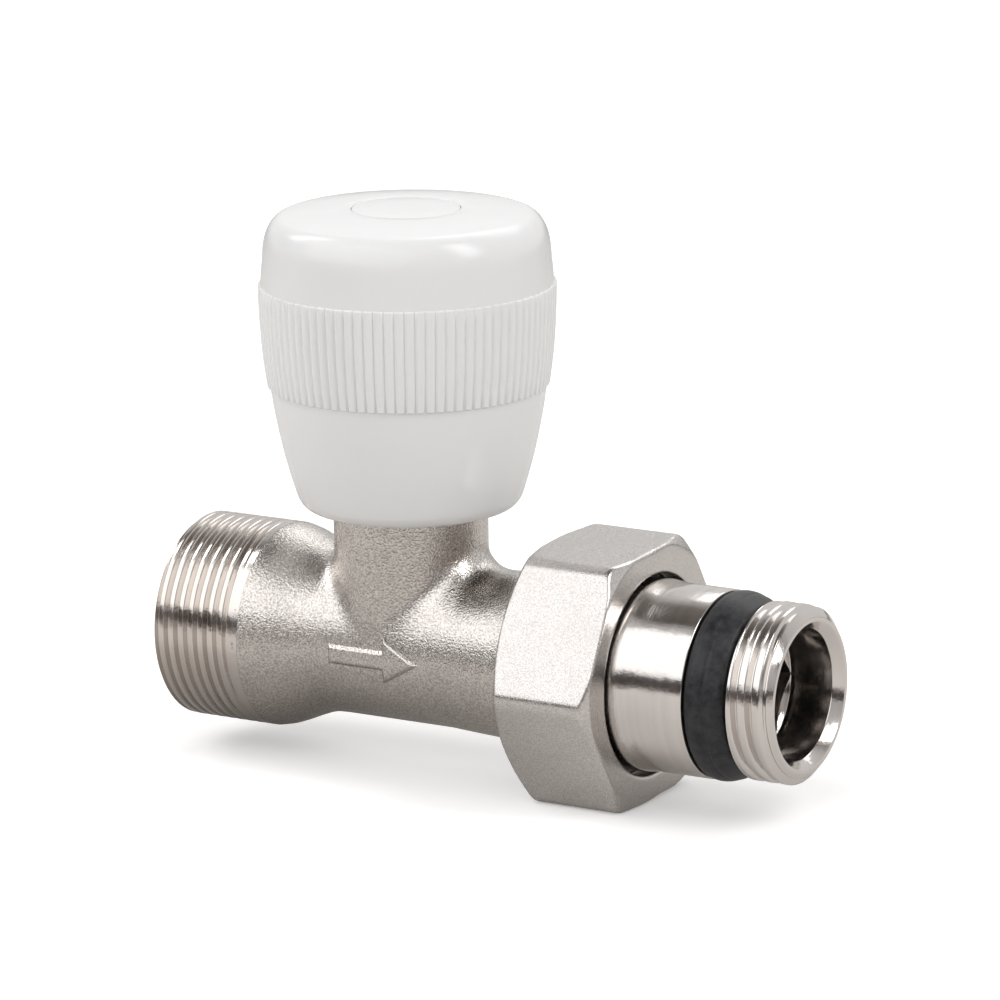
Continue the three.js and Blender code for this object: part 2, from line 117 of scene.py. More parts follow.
camera_data = bpy.data.cameras.new("camera")
camera_data.sensor_width = 36
camera_data.lens = LENS_MM
camera_data.clip_start = 0.01
camera_data.clip_end = 20
camera = bpy.data.objects.new("camera", camera_data)
bpy.context.scene.collection.objects.link(camera)
bpy.context.scene.camera = camera
aim = (-direction_of(CAMERA_AZIMUTH, CAMERA_ELEVATION)).to_track_quat("-Z", "Y")
camera.rotation_mode = "QUATERNION"
camera.rotation_quaternion = aim @ Quaternion((0, 0, 1), CAMERA_ROLL)
camera.location = CAMERA_PLACE
print("camera", [round(value, 3) for value in camera.location])

# %% [markdown]
# ## Building shader nodes
#
# Every finish is a small tree of nodes. This helper adds one node, sets its options, and fills
# its inputs with values or with links, so that a tree reads from top to bottom like a recipe.

# %% Node helper
def add(tree, kind, inputs=None, **options):
    """Adds a shader node. An input may be a value or another node's output socket."""
    made = tree.nodes.new("ShaderNode" + kind)
    for name, value in options.items():
        setattr(made, name, value)
    for name, value in (inputs or {}).items():
        if isinstance(value, bpy.types.NodeSocket):
            tree.links.new(value, made.inputs[name])
        else:
            made.inputs[name].default_value = value
    return made


def paint_ramp(ramp_node, stops):
    """Fills a Color Ramp with (position, colour) stops."""
    elements = ramp_node.color_ramp.elements
    elements[0].position, elements[0].color = stops[0][0], (*stops[0][1], 1)
    elements[1].position, elements[1].color = stops[-1][0], (*stops[-1][1], 1)
    for position, colour in stops[1:-1]:
        elements.new(position).color = (*colour, 1)


# %% [markdown]
# ## Studio
#
# Plated metal has hardly any colour of its own: it shows the room. So the room comes first.
# A wide softbox hangs in front and above. Behind it the front wall is pale, with a dim strip of
# room at its foot; the ceiling is dark, and the wall behind the valve is pale again. Round metal
# wraps these into the bright and dark bands that make it look like metal.
#
# The sky is painted by the angle over the front horizon, found with an arctangent of the
# direction, and a Color Ramp holds the bands.

# %% Paint the room
SKY_STRENGTH = 0.8

view_settings = bpy.context.scene.view_settings
view_settings.view_transform = "Standard"
view_settings.look = "None"

world = bpy.data.worlds.new("studio")
world.use_nodes = True
bpy.context.scene.world = world
sky = world.node_tree
sky.nodes.clear()
direction = add(sky, "TexCoord").outputs["Generated"]
parts = add(sky, "SeparateXYZ", {"Vector": direction})
front = add(sky, "Math", {0: parts.outputs["Y"], 1: -1.0}, operation="MULTIPLY")
angle = add(sky, "Math", {0: parts.outputs["Z"], 1: front.outputs[0]}, operation="ARCTAN2")
share = add(sky, "Math", {0: angle.outputs[0], 1: 1 / math.pi}, operation="MULTIPLY")
bands = add(sky, "ValToRGB", {"Fac": share.outputs[0]})
paint_ramp(bands, [
    (0.00, (0.10, 0.085, 0.08)),
    (0.08, (0.05, 0.04, 0.038)),
    (0.11, (0.60, 0.59, 0.58)),
    (0.41, (0.72, 0.715, 0.71)),
    (0.46, (0.13, 0.115, 0.105)),
    (0.60, (0.24, 0.22, 0.205)),
    (0.68, (0.72, 0.71, 0.70)),
    (0.85, (0.96, 0.95, 0.94)),
    (1.00, (0.90, 0.89, 0.88)),
])
glow = add(sky, "Background", {"Color": bands.outputs["Color"], "Strength": SKY_STRENGTH})
add(sky, "OutputWorld", {"Surface": glow.outputs[0]})
print("sky bands:", len(bands.color_ramp.elements))

# %% Hang the lights
middle = (cad_low + cad_high) / 2


def softbox(name, azimuth, elevation, distance, width, height, watts):
    """A rectangular area light that faces the middle of the valve."""
    data = bpy.data.lights.new(name, "AREA")
    data.shape = "RECTANGLE"
    data.size = width
    data.size_y = height
    data.energy = watts
    lamp = bpy.data.objects.new(name, data)
    bpy.context.scene.collection.objects.link(lamp)
    away = direction_of(math.radians(azimuth), math.radians(elevation))
    lamp.location = middle + distance * away
    lamp.rotation_mode = "QUATERNION"
    lamp.rotation_quaternion = away.to_track_quat("Z", "Y")


softbox("key_softbox", -18, 38, 0.8, 1.45, 0.76, 3.8)
softbox("left_softbox", -88, 42, 0.9, 0.22, 0.5, 1.5)
softbox("right_softbox", 88, 42, 0.9, 0.26, 0.6, 2.8)
softbox("back_softbox", 180, 45, 1.0, 0.8, 0.4, 1.6)

# %% [markdown]
# The floor is a plain pale sheet that touches the lowest point of the valve. The nickel above it
# shows a warmer floor than the eye does, with painted shade that darkens it under the inlet and far away.
# Light Path tells a camera ray from a reflected one and picks between the two floors. A little
# light of its own keeps the floor from going black under the valve.

# %% Lay the floor
FLOOR_HALF_SIZE = 6
UNDER_THE_INLET = (-0.07, 0, 0)
FLOOR_WHITE = (0.93, 0.93, 0.93, 1)

floor_paint = bpy.data.materials.new("floor_paint")
floor_paint.use_nodes = True
tree = floor_paint.node_tree
tree.nodes.clear()
seen = add(tree, "LightPath").outputs["Is Camera Ray"]
spot = add(tree, "TexCoord").outputs["Object"]
from_inlet = add(tree, "VectorMath", {0: spot, 1: UNDER_THE_INLET}, operation="SUBTRACT")
far = add(tree, "VectorMath", {0: from_inlet.outputs["Vector"]}, operation="LENGTH")
# painted shade: the floor seen in reflections is darkest under the inlet and darkens again far away
reflected_floor_shade = add(tree, "ValToRGB", {"Fac": far.outputs["Value"]})
paint_ramp(reflected_floor_shade, [
    (0.015, (0.30, 0.285, 0.27)),
    (0.06, (0.62, 0.60, 0.58)),
    (0.20, (0.66, 0.635, 0.61)),
    (0.45, (0.20, 0.18, 0.165)),
    (0.90, (0.09, 0.08, 0.075)),
])
shade = add(tree, "Mix", {"Factor": seen, "A": reflected_floor_shade.outputs["Color"]}, data_type="RGBA")
shade.inputs["B"].default_value = FLOOR_WHITE
lift = add(tree, "MapRange", {"Value": seen, "To Min": 0.11, "To Max": 0.32})
floor_shader = add(tree, "BsdfPrincipled", {
    "Base Color": shade.outputs["Result"],
    "Roughness": 0.8,
    "Emission Color": shade.outputs["Result"],
    "Emission Strength": lift.outputs["Result"],
})
add(tree, "OutputMaterial", {"Surface": floor_shader.outputs[0]})

floor_bm = bmesh.new()
bmesh.ops.create_grid(floor_bm, x_segments=1, y_segments=1, size=FLOOR_HALF_SIZE)
bmesh.ops.translate(floor_bm, verts=floor_bm.verts, vec=(0, 0, cad_low.z))
floor_mesh = bpy.data.meshes.new("floor")
floor_bm.to_mesh(floor_mesh)
floor_bm.free()
floor_mesh.materials.append(floor_paint)
floor = bpy.data.objects.new("floor", floor_mesh)
bpy.context.scene.collection.objects.link(floor)
print("floor at", round(1000 * cad_low.z, 2), "mm")

# %% [markdown]
# ## Shared surface effects
#
# Three effects come back in several finishes, so each is a node group, built once.
#
# *Blasted grain* is the skin that steel shot leaves on a forging: small pits that each catch the
# light differently. One noise gives the pits. The same noise with its contrast raised gives a
# speckled tone that is darker in each pit: painted shade in the pits, over the grain's own uneven
# tone. A much coarser noise gives a slow mottle.

# %% Make the blasted grain group
def new_group(name, inputs, outputs):
    """An empty node group with float or vector inputs and float outputs."""
    group = bpy.data.node_groups.new(name, "ShaderNodeTree")
    for label, kind, value in inputs:
        socket = group.interface.new_socket(name=label, in_out="INPUT", socket_type=kind)
        if value is not None:
            socket.default_value = value
    for label in outputs:
        group.interface.new_socket(name=label, in_out="OUTPUT", socket_type="NodeSocketFloat")
    entry = group.nodes.new("NodeGroupInput")
    leave = group.nodes.new("NodeGroupOutput")
    return group, entry, leave


FLOAT, VECTOR = "NodeSocketFloat", "NodeSocketVector"
blasted_grain, entry, leave = new_group(
    "blasted_grain",
    [("Vector", VECTOR, None), ("Grains per metre", FLOAT, 2000.0)],
    ["Height", "Speckle and pit shade", "Mottle"],
)
pits = add(blasted_grain, "TexNoise", {
    "Vector": entry.outputs["Vector"],
    "Scale": entry.outputs["Grains per metre"],
    "Detail": 1.5,
    "Roughness": 0.6,
})
# painted shade: the tone is darkest where the pits of the bump are deepest
speckle_and_pit_shade = add(blasted_grain, "MapRange", {
    "Value": pits.outputs["Fac"],
    "From Min": 0.36,
    "From Max": 0.62,
})
mottle_scale = add(
    blasted_grain, "Math", {0: entry.outputs["Grains per metre"], 1: 0.08}, operation="MULTIPLY"
)
mottle = add(blasted_grain, "TexNoise", {
    "Vector": entry.outputs["Vector"],
    "Scale": mottle_scale.outputs[0],
    "Detail": 4.0,
})
blasted_grain.links.new(pits.outputs["Fac"], leave.inputs["Height"])
blasted_grain.links.new(speckle_and_pit_shade.outputs["Result"], leave.inputs["Speckle and pit shade"])
blasted_grain.links.new(mottle.outputs["Fac"], leave.inputs["Mottle"])
print("group", blasted_grain.name, "nodes:", len(blasted_grain.nodes))

# %% [markdown]
# *Turning lines* are the fine rings a lathe tool leaves. Noise in one dimension, read along the
# part's axis, is the same all the way round, which is just what a lathe does. The group takes the
# distance along the axis, so the same rings serve parts that lie along X and parts that stand up.

# %% Make the turning lines group
turning_lines, entry, leave = new_group(
    "turning_lines",
    [("Along", FLOAT, 0.0), ("Lines per metre", FLOAT, 6000.0)],
    ["Height", "Streak"],
)
fine_place = add(
    turning_lines,
    "Math",
    {0: entry.outputs["Along"], 1: entry.outputs["Lines per metre"]},
    operation="MULTIPLY",
)
fine_rings = add(
    turning_lines,
    "TexNoise",
    {"W": fine_place.outputs[0], "Scale": 1.0, "Detail": 3.0},
    noise_dimensions="1D",
)
broad_place = add(
    turning_lines, "Math", {0: fine_place.outputs[0], 1: 0.12}, operation="MULTIPLY"
)
broad_rings = add(
    turning_lines,
    "TexNoise",
    {"W": broad_place.outputs[0], "Scale": 1.0, "Detail": 2.0},
    noise_dimensions="1D",
)
turning_lines.links.new(fine_rings.outputs["Fac"], leave.inputs["Height"])
turning_lines.links.new(broad_rings.outputs["Fac"], leave.inputs["Streak"])
print("group", turning_lines.name, "nodes:", len(turning_lines.nodes))

# %% [markdown]
# *Handling* is the faint unevenness of anything that has been held and packed: broad soft patches
# where the surface is a touch duller. It feeds roughness and a little colour, and on turned metal
# it also makes the polish slightly wavy.

# %% Make the handling group
handling, entry, leave = new_group(
    "handling",
    [("Vector", VECTOR, None), ("Patches per metre", FLOAT, 120.0)],
    ["Dullness"],
)
patches = add(handling, "TexNoise", {
    "Vector": entry.outputs["Vector"],
    "Scale": entry.outputs["Patches per metre"],
    "Detail": 5.0,
    "Roughness": 0.6,
})
softened = add(handling, "MapRange", {
    "Value": patches.outputs["Fac"],
    "From Min": 0.35,
    "From Max": 0.7,
})
handling.links.new(softened.outputs["Result"], leave.inputs["Dullness"])
print("group", handling.name, "nodes:", len(handling.nodes))


# %% [markdown]
# ## Finishes
#
# A finish starts as a Principled shader with its constant sockets set directly. The helper also
# hands back the object coordinates, which stay with the part as it moves. Every finish ends the
# same way, with its colour, roughness and bump linked to the shader.

# %% Finish helper
def new_finish(name, metallic=0.0, ior=1.5, coat=0.0, coat_roughness=0.1):
    """Returns a new material, its tree, its Principled shader and the object coordinates."""
    material = bpy.data.materials.new(name)
    material.use_nodes = True
    tree = material.node_tree
    tree.nodes.clear()
    shader = add(tree, "BsdfPrincipled", {
        "Metallic": metallic,
        "IOR": ior,
        "Coat Weight": coat,
        "Coat Roughness": coat_roughness,
    })
    add(tree, "OutputMaterial", {"Surface": shader.outputs[0]})
    coordinates = add(tree, "TexCoord").outputs["Object"]
    return material, tree, shader, coordinates


def place_group(tree, group, inputs):
    """Puts a shared effect into a material."""
    return add(tree, "Group", inputs, node_tree=group)


def spread(tree, value, low, high):
    """Maps a 0 to 1 value to the range low to high."""
    mapped = add(tree, "MapRange", {"Value": value, "To Min": low, "To Max": high})
    return mapped.outputs["Result"]


def tint(tree, factor, dark, light):
    """A colour between dark and light by a 0 to 1 factor."""
    mixed = add(tree, "Mix", {"Factor": factor}, data_type="RGBA")
    mixed.inputs["A"].default_value = (*dark, 1)
    mixed.inputs["B"].default_value = (*light, 1)
    return mixed.outputs["Result"]


def raised(tree, height, depth, below=None):
    """The normal of a bump with a depth in metres, laid over another normal if one is given."""
    inputs = {"Height": height, "Distance": depth, "Strength": 1.0}
    if below is not None:
        inputs["Normal"] = below
    return add(tree, "Bump", inputs).outputs["Normal"]


def dress(tree, shader, colour, rough, normal):
    """Links a finish's colour, roughness and bump to its shader."""
    tree.links.new(colour, shader.inputs["Base Color"])
    tree.links.new(rough, shader.inputs["Roughness"])
    tree.links.new(normal, shader.inputs["Normal"])


# %% [markdown]
# The forged parts are blasted and then plated, so the nickel itself is smooth but lies on a
# grainy skin. The pits throw sparks at the edge of a highlight, where an even blur would look like
# paint, and the speckled tone, with painted shade in each pit, keeps the grain alive where the room
# it shows is plain. The body's grain is coarse, the nut's is finer and shallower.

# %% Blasted nickel
def blasted_nickel(name, grains_per_metre, depth, dark, light, roughness):
    """Nickel plate on a blasted forging."""
    material, tree, shader, coordinates = new_finish(name, metallic=1.0)
    grain = place_group(tree, blasted_grain, {
        "Vector": coordinates,
        "Grains per metre": grains_per_metre,
    })
    marks = place_group(tree, handling, {"Vector": coordinates, "Patches per metre": 90.0})
    bump = raised(tree, grain.outputs["Height"], depth)
    # the grain's random tone, with painted shade darkening each pit
    share = add(tree, "Mix", {
        "Factor": 0.25,
        "A": grain.outputs["Speckle and pit shade"],
        "B": grain.outputs["Mottle"],
    })
    colour = tint(tree, share.outputs["Result"], dark, light)
    rough = spread(tree, marks.outputs["Dullness"], roughness - 0.03, roughness + 0.05)
    dress(tree, shader, colour, rough, bump)
    return material


body_nickel = blasted_nickel(
    "body_nickel", 4200.0, 0.00007, (0.44, 0.41, 0.385), (0.78, 0.74, 0.705), 0.23
)
nut_nickel = blasted_nickel(
    "nut_nickel", 5600.0, 0.000022, (0.50, 0.475, 0.455), (0.75, 0.725, 0.705), 0.26
)
print("finishes:", body_nickel.name, nut_nickel.name)

# %% [markdown]
# The tail and the threads are turned after forging, so their nickel is bright and shows rings
# round the axis. Polishing leaves it a little wavy too, which frays the edges of its reflections.
# The same recipe in yellow gives the bare brass of the headwork, whose parts stand up, so the
# distance along the axis is Z there. Greyer, it is the zinc plate of the screw and its washer.

# %% Turned metal
POLISH_WAVE_DEPTH = 0.000014


def turned_metal(name, axis, lines_per_metre, depth, dark, light, roughness):
    """Metal turned on a lathe about the X or the Z axis."""
    material, tree, shader, coordinates = new_finish(name, metallic=1.0)
    along = add(tree, "SeparateXYZ", {"Vector": coordinates}).outputs[axis]
    rings = place_group(tree, turning_lines, {
        "Along": along,
        "Lines per metre": lines_per_metre,
    })
    marks = place_group(tree, handling, {"Vector": coordinates, "Patches per metre": 160.0})
    waves = place_group(tree, handling, {"Vector": coordinates, "Patches per metre": 420.0})
    wavy = raised(tree, waves.outputs["Dullness"], POLISH_WAVE_DEPTH)
    bump = raised(tree, rings.outputs["Height"], depth, wavy)
    dull = add(
        tree,
        "Math",
        {0: rings.outputs["Streak"], 1: marks.outputs["Dullness"]},
        operation="MULTIPLY",
    )
    rough = spread(tree, dull.outputs[0], roughness - 0.02, roughness + 0.16)
    colour = tint(tree, rings.outputs["Streak"], dark, light)
    dress(tree, shader, colour, rough, bump)
    return material


turned_nickel = turned_metal(
    "turned_nickel_finish", "X", 5200.0, 0.000004, (0.62, 0.585, 0.56), (0.80, 0.765, 0.74), 0.13
)
thread_nickel = turned_metal(
    "thread_nickel_finish", "X", 9000.0, 0.000003, (0.60, 0.555, 0.52), (0.78, 0.735, 0.70), 0.15
)
bare_brass = turned_metal(
    "bare_brass_finish", "Z", 6000.0, 0.000004, (0.66, 0.50, 0.24), (0.80, 0.66, 0.38), 0.22
)
zinc_steel = turned_metal(
    "zinc_steel_finish", "Z", 7000.0, 0.000003, (0.55, 0.56, 0.57), (0.72, 0.73, 0.74), 0.28
)
print("finishes:", turned_nickel.name, thread_nickel.name, bare_brass.name, zinc_steel.name)

# %% [markdown]
# Rubber is nearly black and satin. A trace of blue, a little bloom in broad patches and very fine
# moulding grain keep it from looking like a hole in the picture.

# %% Black rubber
RUBBER_GRAIN_DEPTH = 0.00004

black_rubber, tree, shader, coordinates = new_finish("black_rubber_finish", ior=1.42)
bloom = place_group(tree, handling, {"Vector": coordinates, "Patches per metre": 900.0})
pores = place_group(tree, blasted_grain, {"Vector": coordinates, "Grains per metre": 5200.0})
bump = raised(tree, pores.outputs["Height"], RUBBER_GRAIN_DEPTH)
colour = tint(tree, bloom.outputs["Dullness"], (0.008, 0.008, 0.010), (0.036, 0.036, 0.041))
rough = spread(tree, bloom.outputs["Dullness"], 0.30, 0.46)
dress(tree, shader, colour, rough, bump)
print("finish:", black_rubber.name)

# %% [markdown]
# The wheel is moulded white ABS. It is smooth, with a soft gloss, and it lets light in a little,
# which keeps the notches between its ribs from going black: a touch of subsurface does that. The
# same recipe, duller, is the PTFE of the packing and the thrust washer.

# %% White plastics
def white_plastic(name, dark, light, roughness, glow_depth, ripple):
    """Moulded white plastic with faint ripples from its mould."""
    material, tree, shader, coordinates = new_finish(name, ior=1.46)
    marks = place_group(tree, handling, {"Vector": coordinates, "Patches per metre": 70.0})
    skin = place_group(tree, blasted_grain, {"Vector": coordinates, "Grains per metre": 420.0})
    bump = raised(tree, skin.outputs["Height"], ripple)
    colour = tint(tree, marks.outputs["Dullness"], light, dark)
    rough = spread(tree, marks.outputs["Dullness"], roughness - 0.03, roughness + 0.05)
    shader.inputs["Subsurface Weight"].default_value = glow_depth
    shader.inputs["Subsurface Radius"].default_value = (1.0, 0.8, 0.6)
    shader.inputs["Subsurface Scale"].default_value = 0.0012
    dress(tree, shader, colour, rough, bump)
    return material


wheel_white = white_plastic(
    "wheel_white_finish", (0.862, 0.867, 0.874), (0.868, 0.872, 0.878), 0.20, 0.10, 0.0000006
)
ptfe_white = white_plastic(
    "ptfe_finish", (0.84, 0.83, 0.80), (0.90, 0.89, 0.87), 0.5, 0.1, 0.00001
)
print("finishes:", wheel_white.name, ptfe_white.name)

# %% [markdown]
# ## Modelling tools
#
# Most of a valve is turned, so most of this model is spun. An outline is a short list of
# (distance along the axis, radius) points; a third number rounds that corner by setting it back,
# with the bevel operator on the outline's vertices. Spin then sweeps it round the axis.

# %% Spin an outline
FULL_TURN = 2 * math.pi
AXES = {"x": Vector((1, 0, 0)), "z": Vector((0, 0, 1))}
SAME_PLACE = 1e-4
COPY_SAME_PLACE = 1e-3


def outline_wire(axis, points, segments=4):
    """A wire outline in the plane of the axis, its corners rounded where a point says so."""
    bm = bmesh.new()
    corners = {}
    for point in points:
        along, radius = point[0], point[1]
        place = (along, 0, radius) if axis == "x" else (radius, 0, along)
        vert = bm.verts.new(place)
        if len(point) > 2:
            corners.setdefault(point[2], []).append(vert)
    bm.faces.new(bm.verts)
    for setback, verts in corners.items():
        bmesh.ops.bevel(
            bm,
            geom=verts,
            offset=setback,
            offset_type="OFFSET",
            segments=segments,
            profile=0.5,
            affect="VERTICES",
            material=-1,
        )
    bmesh.ops.delete(bm, geom=bm.faces[:], context="FACES_ONLY")
    return bm


def distance_off(axis, place):
    """How far a point lies off the axis."""
    return math.hypot(place.y, place.z) if axis == "x" else math.hypot(place.x, place.y)


def turned(axis, points, steps=128, segments=4):
    """A solid spun from a closed outline, whose edges on the axis are left out."""
    bm = outline_wire(axis, points, segments)
    on_axis = [e for e in bm.edges if all(distance_off(axis, v.co) < 1e-6 for v in e.verts)]
    bmesh.ops.delete(bm, geom=on_axis, context="EDGES")
    bmesh.ops.spin(
        bm,
        geom=bm.verts[:] + bm.edges[:],
        cent=(0, 0, 0),
        axis=AXES[axis],
        angle=FULL_TURN,
        steps=steps,
        use_merge=True,
    )
    bmesh.ops.remove_doubles(bm, verts=bm.verts, dist=SAME_PLACE)
    bmesh.ops.recalc_face_normals(bm, faces=bm.faces)
    return bm


# %% [markdown]
# A screw thread is a spin that also slides: `dvec` moves the profile a little at each step. If
# the profile spans exactly one pitch, each turn ends where the next one starts, and merging
# doubles makes one skin. Two cuts and two caps turn that skin into a threaded rod.
# All rods start from the same place, so an inner and an outer thread of one pitch match.

# %% Spin a thread
THREAD_FORM = (
    (0.00, 0.00), (0.05, 0.03), (0.10, 0.14), (0.22, 0.84), (0.28, 0.97), (0.34, 1.00),
    (0.66, 1.00), (0.72, 0.97), (0.78, 0.84), (0.90, 0.14), (0.95, 0.03), (1.00, 0.00),
)


def screw_rod(pitch, crest, root, start, end, steps=96):
    """A right-handed threaded rod along X, from start to end."""
    bm = bmesh.new()
    first = pitch * (math.floor(start / pitch) - 2)
    chain = [
        bm.verts.new((first + part * pitch, 0, root + rise * (crest - root)))
        for part, rise in THREAD_FORM
    ]
    for near, far in zip(chain, chain[1:]):
        bm.edges.new((near, far))
    turns = math.ceil((end - first) / pitch) + 1
    bmesh.ops.spin(
        bm,
        geom=bm.verts[:] + bm.edges[:],
        cent=(0, 0, 0),
        axis=AXES["x"],
        dvec=(pitch / steps, 0, 0),
        angle=FULL_TURN * turns,
        steps=steps * turns,
    )
    bmesh.ops.remove_doubles(bm, verts=bm.verts, dist=COPY_SAME_PLACE)
    for place, side in ((start, -1), (end, 1)):
        bmesh.ops.bisect_plane(
            bm,
            geom=bm.verts[:] + bm.edges[:] + bm.faces[:],
            plane_co=(place, 0, 0),
            plane_no=(side, 0, 0),
            clear_outer=True,
        )
    rims = [e for e in bm.edges if e.is_boundary]
    bmesh.ops.holes_fill(bm, edges=rims, sides=0)
    bmesh.ops.recalc_face_normals(bm, faces=bm.faces)
    return bm


# %% [markdown]
# Some shapes are easiest as one solid cut by another: a thread turned down to its chamfer, a nut
# with a bore. The Boolean modifier does the cut, and reading the evaluated mesh back into a
# bmesh keeps the working shape in one place. Voxel remeshing is read back in the same way, and two
# smaller helpers smooth vertices and push faces out.

# %% Cut, join, remesh, smooth and push out
def working_object(bm):
    """A throwaway object that holds a bmesh."""
    mesh = bpy.data.meshes.new("working")
    bm.to_mesh(mesh)
    bm.free()
    made = bpy.data.objects.new("working", mesh)
    bpy.context.scene.collection.objects.link(made)
    return made


def read_back(working, *others):
    """The evaluated mesh of a throwaway object as a bmesh. The objects are then removed."""
    bpy.context.view_layer.update()
    graph = bpy.context.evaluated_depsgraph_get()
    finished = working.evaluated_get(graph)
    bm = bmesh.new()
    bm.from_mesh(finished.to_mesh())
    finished.to_mesh_clear()
    for spent in (working, *others):
        mesh = spent.data
        bpy.data.objects.remove(spent)
        bpy.data.meshes.remove(mesh)
    return bm


def combine(bm, tool, operation):
    """Joins, cuts or intersects two solids: UNION, DIFFERENCE or INTERSECT."""
    base, other = working_object(bm), working_object(tool)
    cut = base.modifiers.new("cut", "BOOLEAN")
    cut.object = other
    cut.operation = operation
    cut.solver = "EXACT"
    return read_back(base, other)


def remeshed(bm, voxel):
    """The solid with an even skin of small squares."""
    base = working_object(bm)
    skin = base.modifiers.new("skin", "REMESH")
    skin.mode = "VOXEL"
    skin.voxel_size = voxel
    return read_back(base)


def relax(bm, verts, rounds, factor=0.5):
    """Smooths some vertices a number of times."""
    for _ in range(rounds):
        bmesh.ops.smooth_vert(
            bm, verts=verts, factor=factor, use_axis_x=True, use_axis_y=True, use_axis_z=True
        )


def push_out(bm, faces, offset):
    """Extrudes some faces by an offset and returns the faces at the far end."""
    pushed = bmesh.ops.extrude_face_region(bm, geom=faces)["geom"]
    verts = [item for item in pushed if isinstance(item, bmesh.types.BMVert)]
    bmesh.ops.translate(bm, verts=verts, vec=offset)
    bmesh.ops.recalc_face_normals(bm, faces=bm.faces)
    return [item for item in pushed if isinstance(item, bmesh.types.BMFace)]


# %% [markdown]
# Every finished shape goes through one last step: it is carried into the frame, shaded smooth
# except at its real edges, given its material, and tied to the body that it moves with.

# %% Finish a piece
def finish_piece(name, bm, material, body, slot, *nodes, edge_degrees=35):
    """Makes an object of a bmesh drawn in millimetres about the spindle, ties it to its body and hides the parts
    it stands in for.
    """
    bmesh.ops.transform(bm, matrix=TO_FRAME, verts=bm.verts)
    mesh = bpy.data.meshes.new(name)
    bm.to_mesh(mesh)
    open_edges = sum(1 for e in bm.edges if not e.is_manifold)
    bm.free()
    mesh.shade_smooth()
    mesh.set_sharp_from_angle(angle=math.radians(edge_degrees))
    mesh.materials.append(material)
    piece = bpy.data.objects.new(name, mesh)
    bpy.context.scene.collection.objects.link(piece)
    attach(piece, body)
    if nodes:
        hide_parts(*nodes)
    mesh.calc_loop_triangles()
    print(f"{name}: {len(mesh.loop_triangles)} triangles, {open_edges} edges that aren't closed")


# %% [markdown]
# ## Pipe-end thread
#
# The left end takes a compression adaptor: a 24 mm male thread, 19 to the inch. On the real part
# a blank is turned with a chamfer and a socket, and the thread is cut into it. We do the same in
# reverse: a threaded rod is intersected with the turned blank. The last turn runs out into the
# forging, so its grooves are lifted there first.

# %% Cut the pipe thread
INCH = 25.4
PIPE_PITCH = INCH / 19
PIPE_CREST = 12.0
PIPE_ROOT = 11.25
INLET_END = along_flow(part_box("valve_body")[0].x)
SHOULDER = -17.6
SOCKET_RADIUS = 9.05
WATERWAY = 6.2
RUN_OUT_START = SHOULDER - 1.1
RUN_OUT_LENGTH = 1.4

pipe_screw = screw_rod(PIPE_PITCH, PIPE_CREST, PIPE_ROOT, INLET_END - 1, SHOULDER + 1.2)
for vert in pipe_screw.verts:
    run_out = min(1.0, max(0.0, (vert.co.x - RUN_OUT_START) / RUN_OUT_LENGTH))
    radius = math.hypot(vert.co.y, vert.co.z)
    lifted = radius + run_out * max(0.0, PIPE_CREST - radius)
    vert.co.yz = vert.co.yz * (lifted / radius)
pipe_blank = turned("x", [
    (INLET_END, SOCKET_RADIUS + 0.5, 0.1),
    (INLET_END, PIPE_CREST - 0.55, 0.1),
    (INLET_END + 0.6, PIPE_CREST + 0.1),
    (SHOULDER + 1.0, PIPE_CREST + 0.1),
    (SHOULDER + 1.0, WATERWAY),
    (INLET_END + 11.5, WATERWAY, 0.3),
    (INLET_END + 9.0, SOCKET_RADIUS, 0.3),
    (INLET_END + 0.5, SOCKET_RADIUS, 0.1),
], steps=144)
pipe_end = combine(pipe_screw, pipe_blank, "INTERSECT")
finish_piece(
    "pipe_thread", pipe_end, thread_nickel, "valve_body", "turned_nickel", edge_degrees=50
)

# %% [markdown]
# ## Forged body
#
# A forging has no sharp corners inside: the neck flows into the barrel. We spin the barrel and
# the neck, join them, and let a fine voxel remesh give the join an even skin. Then every vertex
# near the join slides onto a blended surface. Far from the join the blend is just the nearer of
# the two walls; close to it, it stands out a little, and that is the fillet. The fillet is wide
# on the outlet's side, narrow on the inlet's, and almost nothing at the front and back of the
# neck, as the dies leave it.

# %% Join barrel and neck
NECK_RADIUS = 8.93
NECK_TOP = 18.0
BARREL_RADIUS = 9.33
SPIGOT_START = 20.2
BARREL_SIDE = (
    (SHOULDER - 0.5, 11.2),
    (SHOULDER, 12.02),
    (-16.4, 11.98),
    (-15.0, 11.66),
    (-13.5, 11.08),
    (-12.0, 10.42),
    (-10.4, 9.80),
    (-9.0, 9.42),
    (-7.2, BARREL_RADIUS),
    (7.0, BARREL_RADIUS),
    (11.0, 9.55),
    (14.0, 9.68),
    (SPIGOT_START + 1.0, 9.70),
)

barrel = turned("x", [(SHOULDER - 0.5, 0), *BARREL_SIDE, (SPIGOT_START + 1.0, 0)])
neck = turned("z", [(0, 0), (0, NECK_RADIUS), (NECK_TOP, NECK_RADIUS), (NECK_TOP, 0)])
forging = combine(barrel, neck, "UNION")
print("joined forging:", len(forging.faces), "faces")

# %% Skin the forging and blend the join
SKIN_VOXEL = 0.24
OUTLET_FILLET = 3.8
INLET_FILLET = 1.6
LEAST_FILLET = 0.6
BLEND_LOW, BLEND_HIGH, BLEND_SIDE = 0.8, 14.5, 14.5
BLEND_ROUNDS = 3
NUDGE = 0.01
CLOSE_ENOUGH = 1e-3
LEAST_SLOPE = 0.3


def barrel_radius(x):
    """The barrel's radius at a place along the flow axis."""
    for (near_x, near_radius), (far_x, far_radius) in zip(BARREL_SIDE, BARREL_SIDE[1:]):
        if x <= far_x:
            part = max(0.0, (x - near_x) / (far_x - near_x))
            return near_radius + part * (far_radius - near_radius)
    return BARREL_SIDE[-1][1]


